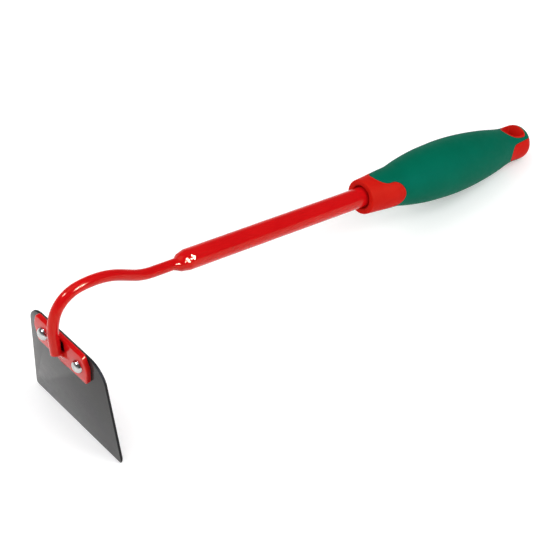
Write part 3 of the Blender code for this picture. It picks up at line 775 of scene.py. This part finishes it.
def make_handle(plastic, rubber):
    cols = 192
    rows = (spaced(165.6, 173.0, 1.0) + spaced(173.0, 200.6, 0.46) + spaced(200.6, 206.0, 0.9)
            + spaced(206.0, 308.0, 2.4) + spaced(308.0, 316.0, 1.0) + spaced(316.0, 347.4, 0.46))
    dome = math.asin((347.4 - TAIL_DOME) / (HANDLE_END - TAIL_DOME))
    rows += [TAIL_DOME + (HANDLE_END - TAIL_DOME) * math.sin(dome + (math.pi / 2 - dome) * i / 14)
             for i in range(16)]
    s = np.repeat(np.array(rows)[:, None], cols, 1)
    a = np.repeat((2 * math.pi * np.arange(cols) / cols)[None], len(rows), 0)

    front = ring_curve(front_limit, 14.7, 0.8)
    rear = ring_curve(rear_limit, 13.9, 0.7)
    phi = np.where(s < 210, -50.0, 50.0)
    phi[s >= 348] = -50.0
    phi[(s >= 201) & (s < 308)] = 50.0
    foot_s, foot_a = s.copy(), a.copy()

    def take(rows_mask, curve, sign):
        d, fs, fa = side_distance(s[rows_mask], a[rows_mask], curve, sign)
        now = phi[rows_mask]
        use = d < now
        now[use] = d[use]
        phi[rows_mask] = now
        gs, ga = foot_s[rows_mask], foot_a[rows_mask]
        gs[use], ga[use] = fs[use], fa[use]
        foot_s[rows_mask], foot_a[rows_mask] = gs, ga

    column = s[:, 0]
    near_front = (column > 171) & (column < 206)
    phi[near_front] = 50.0
    take(near_front, front, -1.0)
    near_rear = (column > 308) & (column < 350.5)
    phi[near_rear] = 50.0
    take(near_rear, rear, 1.0)
    near_eye = (column > 314) & (column < 347)
    window = eye_outline(0.0)
    take(near_eye, window_curve(window, True), 1.0)
    take(near_eye, window_curve(window, False), -1.0)

    rim = eye_outline(-1.35)
    hole = np.full(s.shape, 50.0)
    hole_s, hole_a = s.copy(), a.copy()
    for top, sign in ((True, 1.0), (False, -1.0)):
        d, fs, fa = side_distance(s[near_eye], a[near_eye], window_curve(rim, top), sign)
        now = hole[near_eye]
        use = d < now
        now[use] = d[use]
        hole[near_eye] = now
        gs, ga = hole_s[near_eye], hole_a[near_eye]
        gs[use], ga[use] = fs[use], fa[use]
        hole_s[near_eye], hole_a[near_eye] = gs, ga

    edge = snap(s, a, phi, foot_s, foot_a, np.zeros(s.shape, bool))
    snap(s, a, hole, hole_s, hole_a, edge)

    n_rows = len(rows)
    faces = []
    for i in range(n_rows - 1):
        for j in range(cols):
            k = (j + 1) % cols
            faces.append((i * cols + j, i * cols + k, (i + 1) * cols + k, (i + 1) * cols + j))
    flat_phi, flat_hole = phi.ravel(), hole.ravel()
    flat_s, flat_a = s.ravel(), a.ravel()
    grip_faces, core_faces = split_by(faces, flat_phi)
    core_faces, _ = split_by(core_faces, flat_hole)

    def borders(inner, outer=None):
        """Directed edges of inner faces that the other faces share."""
        mine = set()
        for f in inner:
            for x, y in zip(f, f[1:] + f[:1]):
                mine.add((x, y))
        theirs = None
        if outer is not None:
            theirs = set()
            for f in outer:
                for x, y in zip(f, f[1:] + f[:1]):
                    theirs.add((x, y))
        return [(x, y) for x, y in mine
                if (y, x) not in mine and (theirs is None or (y, x) in theirs)]

    seam = sorted(borders(grip_faces, core_faces))
    R = handle_radius(flat_s)

    def point(i, r, lift_s=0.0):
        return (flat_s[i] + lift_s, r * math.sin(flat_a[i]), r * math.cos(flat_a[i]))

    # ---- soft grip: outer skin, inner skin and walls -------------------------
    used = sorted({i for f in grip_faces for i in f})
    outer = {i: k for k, i in enumerate(used)}
    inner = {i: k + len(used) for k, i in enumerate(used)}
    drop = shoulder(flat_phi, 0.50)
    verts = [point(i, R[i] - drop[i]) for i in used] + [point(i, R[i] - GRIP_T) for i in used]
    out = [tuple(outer[i] for i in f) for f in grip_faces]
    out += [tuple(inner[i] for i in f[::-1]) for f in grip_faces]
    for x, y in borders(grip_faces):
        out.append((outer[y], outer[x], inner[x], inner[y]))
    grip = place("soft_grip_skin", verts, out, SHAFT, rubber, "soft_grip", 75.0)

    # ---- core: what shows, what lies under the grip, collar, eye and tail ------
    drop = np.maximum(shoulder(-flat_phi, 0.42), shoulder(flat_hole, 0.70))
    shown = sorted({i for f in core_faces for i in f})
    below = used
    top = {i: k for k, i in enumerate(shown)}
    low = {i: k + len(shown) for k, i in enumerate(below)}
    verts = [point(i, R[i] - drop[i]) for i in shown] + [point(i, R[i] - SUNK) for i in below]
    out = [tuple(top[i] for i in f) for f in core_faces]
    out += [tuple(low[i] for i in f) for f in grip_faces]
    for x, y in seam:
        out.append((low[y], low[x], top[x], top[y]))

    # collar: rounded lip, flat front, recess and socket for the tube
    lip = float(handle_radius(COLLAR + 1.3))
    rings = arc(COLLAR + 1.3, lip - 1.3, 1.3, 90, 180, 8)[1:]
    rings += [(COLLAR, 11.0)]
    rings += arc(COLLAR + 0.8, 9.7, 0.8, 180, 270, 5)
    rings += [(COLLAR + 2.2, 8.9), (COLLAR + 3.1, 8.7), (COLLAR + 3.5, 8.3), (COLLAR + 3.5, 7.65),
              (COLLAR + 122.0, 7.65)]
    last = [top[j] for j in range(cols)]
    for x, r in rings:
        base = len(verts)
        verts += [(x, r * math.sin(2 * math.pi * j / cols), r * math.cos(2 * math.pi * j / cols))
                  for j in range(cols)]
        now = list(range(base, base + cols))
        out += [(last[j], now[j], now[(j + 1) % cols], last[(j + 1) % cols]) for j in range(cols)]
        last = now
    base = len(verts)
    verts.append((COLLAR + 122.0, 0.0, 0.0))
    out += [(last[j], base, last[(j + 1) % cols]) for j in range(cols)]

    # tail pole
    base = len(verts)
    verts.append((HANDLE_END, 0.0, 0.0))
    end = [top[(n_rows - 1) * cols + j] for j in range(cols)]
    out += [(end[j], end[(j + 1) % cols], base) for j in range(cols)]

    # hanging eye: funnels from both rims to a narrower middle
    loop_edges = [(x, y) for x, y in borders(core_faces) if flat_hole[x] == 0.0 and flat_hole[y] == 0.0]
    loops = {True: {}, False: {}}
    for x, y in loop_edges:
        loops[math.cos(flat_a[x]) > 0][x] = y
    count = 180
    ring_t = [m / count for m in range(count)]
    levels = [1.0 - 0.5 * (1 - math.cos(math.pi * i / 26)) * 2 for i in range(1, 26)]

    def outline_at(grow):
        ol = eye_outline(grow)
        idx = np.arange(count) / count * len(ol)
        lo = idx.astype(int)
        f = (idx - lo)[:, None]
        return ol[lo % len(ol)] * (1 - f) + ol[(lo + 1) % len(ol)] * f

    rim_pts = outline_at(-1.35)
    height = np.sqrt(np.maximum((handle_radius(rim_pts[:, 0]) - 0.7) ** 2 - rim_pts[:, 1] ** 2, 1.0))
    rings = []
    for f in levels:
        grow = -1.35 - 2.25 * (1 - f * f) ** 0.85
        ol = outline_at(grow)
        base = len(verts)
        verts += [(ol[m, 0], ol[m, 1], f * height[m]) for m in range(count)]
        rings.append(list(range(base, base + count)))
    for u, v in zip(rings, rings[1:]):
        out += [(u[m], v[m], v[(m + 1) % count], u[(m + 1) % count]) for m in range(count)]
    rim_dense = eye_outline(-1.35)
    for is_top, ring in ((True, rings[0]), (False, rings[-1])):
        members = list(loops[is_top])
        pos = np.array([(flat_s[i], R[i] * math.sin(flat_a[i])) for i in members])
        d2 = ((pos[:, None] - rim_dense[None]) ** 2).sum(2)
        k = d2.argmin(1)
        t = []
        for q, p in enumerate(pos):
            best = None
            for step in (-1, 0):
                i0, i1 = (k[q] + step) % len(rim_dense), (k[q] + step + 1) % len(rim_dense)
                e = rim_dense[i1] - rim_dense[i0]
                w = float(np.clip(((p - rim_dense[i0]) @ e) / max(e @ e, 1e-12), 0, 1))
                dd = float(((p - rim_dense[i0] - w * e) ** 2).sum())
                if best is None or dd < best[0]:
                    best = (dd, ((k[q] + step) % len(rim_dense) + w) / len(rim_dense))
            t.append(best[1] % 1.0)
        order = np.argsort(t)
        loop = [top[members[i]] for i in order]
        loop_t = [t[i] for i in order]
        out += zipper(loop, loop_t, ring, ring_t)
    core = place("handle_core_shell", verts, out, SHAFT, plastic, "handle_core", 75.0)
    return grip, core


# --------------------------------------------------------------------------
# Tube, rod and welds
# --------------------------------------------------------------------------
def table(points, sigma):
    """Radii at FRONT_S through (s, radius) points, softened."""
    value = np.interp(FRONT_S, [p[0] for p in points], [p[1] for p in points])
    reach = int(4 * sigma / 0.05) + 1
    kernel = np.exp(-0.5 * (np.arange(-reach, reach + 1) * 0.05 / sigma) ** 2)
    kernel /= kernel.sum()
    return np.convolve(np.pad(value, reach, mode="edge"), kernel, mode="valid")


FRONT_S = np.arange(-16.0, 4.01, 0.05)
SHORT_SIDE = table(((-16.0, 3.55), (-10.4, 3.62), (-9.6, 3.95), (-8.5, 4.80), (-7.0, 5.85), (-5.0, 6.45),
                    (-3.2, 6.97), (-1.2, 7.47), (0.0, 7.5), (4.0, 7.5)), 0.30)
LONG_SIDE = table(((-16.0, 3.55), (-14.4, 3.62), (-13.6, 3.95), (-12.0, 4.45), (-10.0, 5.20), (-8.5, 5.85),
                   (-7.0, 6.40), (-5.0, 6.75), (-3.2, 7.05), (-1.2, 7.47), (0.0, 7.5), (4.0, 7.5)), 0.30)


def front_radius(s, a):
    """Outer radius of the tube's front and the weld before it, with two flat jaw marks."""
    w = 0.5 + 0.5 * math.cos(a + math.radians(134))
    r = (1 - w) * float(np.interp(s, FRONT_S, SHORT_SIDE)) + w * float(np.interp(s, FRONT_S, LONG_SIDE))
    if s < -5.0:
        fade = math.sin(math.pi * min(1.0, (-s - 5.0) / 7.5))
        r += fade * (0.07 * math.sin(5 * a + 0.6 * s) + 0.05 * math.sin(9 * a - 0.5 * s + 1.9))
    for angle, floor, mid, left, right in ((-54.0, 6.53, -4.0, -5.2, -2.9), (-50.0, 7.22, 0.5, -0.7, 9.0)):
        d = (a - math.radians(angle) + math.pi) % (2 * math.pi) - math.pi
        if abs(d) < 0.9:
            lean = 0.4 * d * TUBE_R
            cut = (floor + 0.255 * (s - mid)) / math.cos(d)
            r = min(r, cut + 1.3 * (max(0.0, left - lean - s) + max(0.0, s + lean - right)))
    return r


def make_tube(paint):
    profile = [(0.15, ROD_R + 0.1), (0.15, 6.4)]
    profile += [(x, TUBE_R) for x in spaced(0.15, 5.0, 0.3)]
    profile += [(x, TUBE_R) for x in (5.0, 8.0, 13.0, 18.0, 30.0, 60.0, 100.0, 140.0, 160.0, 167.0, 200.0, TUBE_END - 0.4)]
    profile += [(TUBE_END, TUBE_R - 0.4), (TUBE_END, TUBE_R - TUBE_WALL), (3.0, TUBE_R - TUBE_WALL),
                (2.2, TUBE_R - TUBE_WALL - 0.8), (2.2, ROD_R + 0.1)]

    def wobble(x, r, a):
        if r < TUBE_R or x > 4.9:
            return 0.0, 0.0
        return 0.0, min(front_radius(x, a), TUBE_R) - r

    verts, faces = turned(profile, 144, wobble)
    return place("shaft_tube_painted", verts, faces, SHAFT, paint, "shaft_tube", 50.0)


def make_tube_weld(paint):
    """Weld fillet that closes the tube's front onto the rod, longer below."""
    outer = 7.0
    profile = [(0.15, ROD_R - 0.35), (0.15, 5.8)]
    profile += [(0.15 - 14.65 * i / 52, outer) for i in range(53)]
    profile.append((-14.5, ROD_R - 0.35))

    def wobble(x, r, a):
        if r != outer:
            return 0.0, 0.0
        return 0.0, min(front_radius(x, a), TUBE_R) - r

    verts, faces = turned(profile, 144, wobble)
    return place("tube_weld_fillet", verts, faces, SHAFT, paint, "tube_weld", 60.0)


def neck_line():
    """Centre line of the rod in the middle plane, in world millimetres."""
    fine = 5
    heading = TILT
    x = -115.159 + ROD_IN * math.cos(heading)
    z = 89.354 - ROD_IN * math.sin(heading)
    points, headings = [(x, z)], [heading]
    rise, crown, turn = math.radians(20.7), math.radians(32.8), math.radians(70.6)
    last = TILT + rise + math.pi / 2 + LEAN - crown - turn
    runs = ((ROD_IN + 29.4, 0.0, 3), (48.6 * rise, rise, 5), (11.2, 0.0, 1),
            (60.0 * crown, -crown, 7), (20.9 * turn, -turn, 9), (46.0 * last, -last, 4))
    for length, bend, steps in runs:
        steps *= fine
        for _ in range(steps):
            heading += bend / steps / 2
            chord = length / steps
            if bend:
                half = abs(bend) / steps / 2
                chord *= math.sin(half) / half
            x -= chord * math.cos(heading)
            z += chord * math.sin(heading)
            heading += bend / steps / 2
            points.append((x, z))
            headings.append(heading)
    run = (z - TOE) / math.sin(-heading)
    for i in range(3 * fine):
        x -= run / (3 * fine) * math.cos(heading)
        z += run / (3 * fine) * math.sin(heading)
        points.append((x, z))
        headings.append(heading)
    return points, headings


def make_rod(paint):
    points, headings = neck_line()
    p = np.array(points)
    h = np.array(headings)
    # soften the steps in curvature where runs meet
    k = np.exp(-0.5 * (np.arange(-6, 7) / 2.2) ** 2)
    k /= k.sum()
    soft = np.stack([np.convolve(np.pad(p[:, m], 6, mode="reflect", reflect_type="odd"), k, mode="valid")
                     for m in range(2)], 1)
    cols = 56
    verts, faces, rows = [], [], []
    edge = 0.7
    n = len(p)
    for i in range(n):
        q = soft[i]
        if i in (0, n - 1):
            q = p[i]
        e = soft[min(n - 1, i + 1)] - soft[max(0, i - 1)]
        t = e / np.linalg.norm(e)
        up = np.array([-t[1], t[0]])
        if up[1] < 0 or i > n * 0.62:
            up = np.array([t[1], -t[0]]) if np.dot(np.array([t[1], -t[0]]), np.array([-1.0, 0.3])) > 0 else up
        rows.append((q, t, up))
    # keep the frames from flipping
    for i in range(1, n):
        q, t, up = rows[i]
        if np.dot(up, rows[i - 1][2]) < 0:
            rows[i] = (q, t, -up)

    def ring(q, up, r):
        base = len(verts)
        for j in range(cols):
            a = 2 * math.pi * j / cols
            verts.append((q[0] + r * math.cos(a) * up[0], r * math.sin(a), q[1] + r * math.cos(a) * up[1]))
        return list(range(base, base + cols))

    loops = []
    for end, (q, t, up) in ((0, rows[0]), (1, rows[-1])):
        steps = [(edge * (1 - math.sin(math.pi / 2 * i / 5)), ROD_R - edge + edge * math.cos(math.pi / 2 * i / 5))
                 for i in range(1, 6)]
        rings = []
        if end == 0:
            for back, r in [(edge * (1 - math.sin(b)), ROD_R - edge * (1 - math.cos(b)))
                            for b in [math.pi / 2 * (5 - i) / 5 for i in range(5)]]:
                rings.append(ring(q + t * (edge * (1 - math.sin(math.acos(max(-1, min(1, (r - ROD_R + edge) / edge)))))), up, r))
            loops += rings
            loops += [ring(rows[i][0], rows[i][2], ROD_R) for i in range(1, n - 1)]
        else:
            for i in range(6):
                b = math.pi / 2 * i / 5
                rings.append(ring(q - t * (edge * (1 - math.sin(b))), up, ROD_R - edge * (1 - math.cos(b))))
            loops += rings
    for u, v in zip(loops, loops[1:]):
        faces += [(u[j], u[(j + 1) % cols], v[(j + 1) % cols], v[j]) for j in range(cols)]
    faces.append(tuple(loops[0]))
    faces.append(tuple(loops[-1][::-1]))
    toe_x = p[-1][0]
    for k, (x, y, z) in enumerate(verts):
        if x < toe_x + 5.0 and z < TOE + 8.0:
            verts[k] = (x, y, z + (SLANT_A * (toe_x - x) + SLANT_Y * y) * (TOE + 8.0 - z) / 8.0)
    return place("gooseneck_rod_painted", verts, faces, Matrix.Identity(4), paint, "gooseneck_rod", 50.0)


def make_plate_weld(paint):
    """Fillet between the rod's toe and the plate, run round the toe."""
    axis = FACE - 4.15

    def rod(x, y, z):
        q = np.sqrt(y ** 2 + (x - axis) ** 2) - (ROD_R - 0.8)
        w = (TOE + SLANT_A * (axis - x) + SLANT_Y * y + 0.8) - z
        return np.minimum(np.maximum(q, w), 0.0) + np.sqrt(np.maximum(q, 0) ** 2 + np.maximum(w, 0) ** 2) - 0.8

    def field(x, y, z):
        a = FACE - x
        d1, d2 = rod(x, y, z), a
        k = 8.6 * smoothstep(62.4, 66.6, z) * (1 - smoothstep(70.6, 76.2, z)) + 1e-3
        around = np.arctan2(z - 73.0, np.abs(y))
        h = np.maximum(k - np.abs(d1 - d2), 0.0) / k
        blend = np.minimum(d1, d2) - h * h * k * 0.25
        ripple = 0.085 * np.sin(around * 9.0 + 1.1 * np.sin(y * 0.9) + 0.5 * a) * h
        skin = blend + ripple + 0.05
        cut = np.maximum(-(d1 + 0.9), -(a + 0.2))
        ball = np.sqrt((y / 12.5) ** 2 + ((z - 70.5) / 10.0) ** 2 + (a / 9.5) ** 2) - 1.0
        return np.maximum(np.maximum(skin, cut), ball * 4.0)

    points, faces = surface_nets(field, (FACE - 9.0, -13.0, 60.0), (FACE + 0.6, 13.0, 81.5), 0.27)
    return place("plate_weld_fillet", points, faces, HEAD, paint, "plate_weld", 80.0)


# --------------------------------------------------------------------------
# Blade, plate and rivets
# --------------------------------------------------------------------------
def hole_cutter(radius, x0, x1):
    return turned([(x0, 0.0), (x0, radius), (x1, radius), (x1, 0.0)], 40)


def make_blade(coating):
    height, foot, top = 83.7, 49.04, 39.9
    slope = (foot - top) / height
    points, normals = rounded(((foot, 0.0, 2.4, 8), (foot - slope * height, height, 15.5, 24),
                               (-(foot - slope * height), height, 15.5, 24), (-foot, 0.0, 2.4, 8)))
    verts, faces = slab(points, normals, edge_levels(0.0, 1.8, 0.22, 3))
    obj = place("blade_sheet", verts, faces, HEAD, coating, "blade", 30.0)
    wedge = [(0.42, -2.0), (4.0, -2.0), (4.0, 5.0 * (4.0 - 0.42) / 1.4), (0.42, 0.0)]
    cv = [(x, y, z) for y in (-60.0, 60.0) for x, z in wedge]
    cf = [(0, 1, 2, 3), (7, 6, 5, 4)] + [(i, 4 + i, 4 + (i + 1) % 4, (i + 1) % 4) for i in range(4)]
    holes = [(*hole_cutter(2.6, -8.0, 5.0), RIVETED @ Matrix.Translation((0.0, side * 19.2 * MM, 73.2 * MM)))
             for side in (1, -1)]
    drill(obj, [(cv, cf, HEAD)] + holes)
    obj.data.shade_smooth()
    obj.data.set_sharp_from_angle(angle=math.radians(16))
    # edge faces take the darker edge material, whose colour is painted shade
    obj.data.materials.append(edge_finish_and_shade())
    for face in obj.data.polygons:
        if abs(face.normal.x) < 0.75:
            face.material_index = 1
    return obj


def make_plate(paint):
    mid = (85.4 + 61.2) / 2 + 2.0
    points, normals = rounded(((27.4, 61.2, 2.0, 6), (30.0, mid, 9.0, 8), (26.2, 85.4, 2.8, 8),
                               (-24.8, 85.4, 2.8, 8), (-28.7, mid, 9.0, 8), (-26.6, 61.2, 2.0, 6)))
    verts, faces = slab(points, normals, edge_levels(FACE, -0.1, 0.75, 5))
    obj = place("tang_plate_painted", verts, faces, RIVETED, paint, "tang_plate", 30.0)
    holes = [(*hole_cutter(2.6, -8.0, 5.0), RIVETED @ Matrix.Translation((0.0, side * 19.2 * MM, 73.2 * MM)))
             for side in (1, -1)]
    drill(obj, holes)
    obj.data.shade_smooth()
    obj.data.set_sharp_from_angle(angle=math.radians(32))
    return obj


def make_rivets(steel):
    made = []
    for side, name, node, phase in ((1, "rivet_left_steel", "rivet_left", 0.4), (-1, "rivet_right_steel", "rivet_right", 2.1)):
        profile = []
        for i in range(19):                     # domed head on the plate's face
            a = math.pi / 2 * i / 18
            profile.append((FACE - 0.35 - 3.45 * math.cos(a), 4.55 * math.sin(a)))
        profile += [(FACE - 0.22, 4.6), (FACE - 0.08, 4.52), (FACE - 0.03, 4.3), (FACE - 0.03, 2.5), (1.83, 2.5),
                    (1.83, 3.7), (1.92, 3.95)]
        for i in range(1, 14):                  # closed head on the blade's inner side
            a = math.pi / 2 * i / 14
            profile.append((1.95 + 1.5 * math.sin(a), 4.0 * math.cos(a) ** 0.8))
        profile.append((3.45, 0.0))

        def wobble(x, r, a, phase=phase):
            if x > 1.9:                         # set by hand: slightly faceted
                return 0.05 * math.sin(3 * a + phase) * (r / 4.0), 0.06 * math.sin(2 * a + phase) * (r / 4.0)
            return 0.0, 0.0

        verts, faces = turned(profile, 72, wobble)
        m = RIVETED @ Matrix.Translation((0.0, side * 19.2 * MM, 73.2 * MM))
        made.append(place(name, verts, faces, m, steel, node, 40.0))
    return made


def main():
    set_stage()
    paint, plastic, rubber = red_paint(), red_plastic(), green_rubber()
    make_handle(plastic, rubber)
    make_tube(paint)
    make_tube_weld(paint)
    make_rod(paint)
    make_plate(paint)
    make_plate_weld(paint)
    make_blade(blade_coating())
    make_rivets(rivet_steel())
    bpy.context.view_layer.update()


main()
